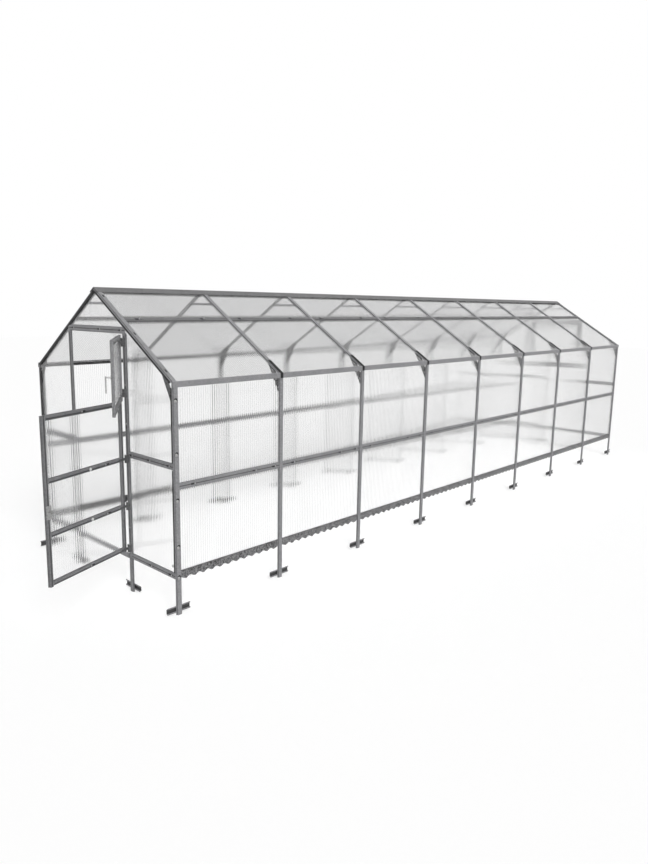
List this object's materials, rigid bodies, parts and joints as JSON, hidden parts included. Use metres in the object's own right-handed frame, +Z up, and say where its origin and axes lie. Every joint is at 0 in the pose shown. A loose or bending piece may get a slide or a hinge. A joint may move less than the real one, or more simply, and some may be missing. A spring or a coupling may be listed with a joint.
{
  "type": "greenhouse",
  "caption": "Gabled greenhouse of hat-section steel frames glazed with clear twin-wall sheet, with a split door in front, a hinged vent behind and legs with cross feet",
  "frame": {"origin": "front edge of the underside of the door threshold, in the middle of the doorway, on the ground line", "axes": "X across the house to the right of the doorway, Y from the door gable to the rear gable, Z up"},
  "size_m": [2.0677, 8.9044, 2.3164],
  "materials": {
    "galvanised": "galvanised, dull",
    "ridge_steel": "galvanised, weathered",
    "base_strip": "galvanised, splashed",
    "dark_strap": "dark, satin",
    "hardware": "zinc plated",
    "twin_wall_sheet": "clear, fluted"
  },
  "bodies": {
    "house": {"base_rails": "base_strip", "bolt_keeper": "hardware", "collar_ties": "galvanised", "corner_post_front_left": "galvanised", "corner_post_front_right": "galvanised", "corner_post_rear_left": "galvanised", "corner_post_rear_right": "galvanised", "door_hinge_plates": "hardware", "door_hinge_post": "galvanised", "door_latch_post": "galvanised", "eave_beam_left": "galvanised", "eave_beam_right": "galvanised", "eave_straps": "dark_strap", "foot_bars_gables": "galvanised", "foot_bars_left": "galvanised", "foot_bars_right": "galvanised", "gable_rails_front": "galvanised", "gable_rails_rear": "galvanised", "gable_sheets_front": "twin_wall_sheet", "gable_sheets_rear": "twin_wall_sheet", "hinge_pins": "hardware", "knee_plates_left": "galvanised", "knee_plates_right": "galvanised", "lintel_front": "galvanised", "lintel_rear": "galvanised", "mid_rails": "galvanised", "purlins": "galvanised", "rafters_left": "galvanised", "rafters_right": "galvanised", "rear_posts": "galvanised", "rear_transom": "galvanised", "ridge_cap": "ridge_steel", "roof_sheets_left": "twin_wall_sheet", "roof_sheets_right": "twin_wall_sheet", "side_posts_left": "galvanised", "side_posts_right": "galvanised", "sills_front": "galvanised", "sills_rear": "galvanised", "top_rails": "galvanised", "vent_hinge_plates": "hardware", "wall_sheets_left": "twin_wall_sheet", "wall_sheets_right": "twin_wall_sheet"},
    "lower_leaf": {"lower_leaf_stiles": "galvanised", "lower_leaf_rails": "galvanised", "lower_leaf_sheet": "twin_wall_sheet", "lower_leaf_straps": "hardware", "lower_bolt_plate": "hardware"},
    "lower_bolt": {"lower_bolt": "hardware"},
    "upper_leaf": {"upper_leaf_stiles": "galvanised", "upper_leaf_rails": "galvanised", "upper_leaf_sheet": "twin_wall_sheet", "upper_leaf_straps": "hardware"},
    "upper_lever": {"upper_lever": "hardware"},
    "vent": {"vent_stiles": "galvanised", "vent_rails": "galvanised", "vent_sheet": "twin_wall_sheet", "vent_straps": "hardware"},
    "vent_lever": {"vent_lever": "hardware"}
  },
  "joints": [
    {"name": "lower_leaf_hinge", "type": "hinge", "parent": "house", "child": "lower_leaf", "pos_m": [0.415, -0.024, 0.6], "axis": [0, 0, 1], "range_deg": [-109.6, 50.4]},
    {"name": "upper_leaf_hinge", "type": "hinge", "parent": "house", "child": "upper_leaf", "pos_m": [0.415, -0.024, 1.45], "axis": [0, 0, 1], "range_deg": [-145.5, 14.5]},
    {"name": "lower_bolt_slide", "type": "slide", "parent": "lower_leaf", "child": "lower_bolt", "axis": [0.3355, -0.9421, 0], "range_m": [0, 0.018]},
    {"name": "upper_lever_turn", "type": "hinge", "parent": "upper_leaf", "child": "upper_lever", "pos_m": [1.05287, -0.4624, 1.479], "axis": [-0.5664, -0.8241, 0], "range_deg": [0, 90]},
    {"name": "vent_hinge", "type": "hinge", "parent": "house", "child": "vent", "pos_m": [-0.415, 8.074, 1.4], "axis": [0, 0, 1], "range_deg": [0, 150]},
    {"name": "vent_lever_turn", "type": "hinge", "parent": "vent", "child": "vent_lever", "pos_m": [0.359, 8.05, 1.479], "axis": [0, -1, 0], "range_deg": [0, 90]}
  ]
}
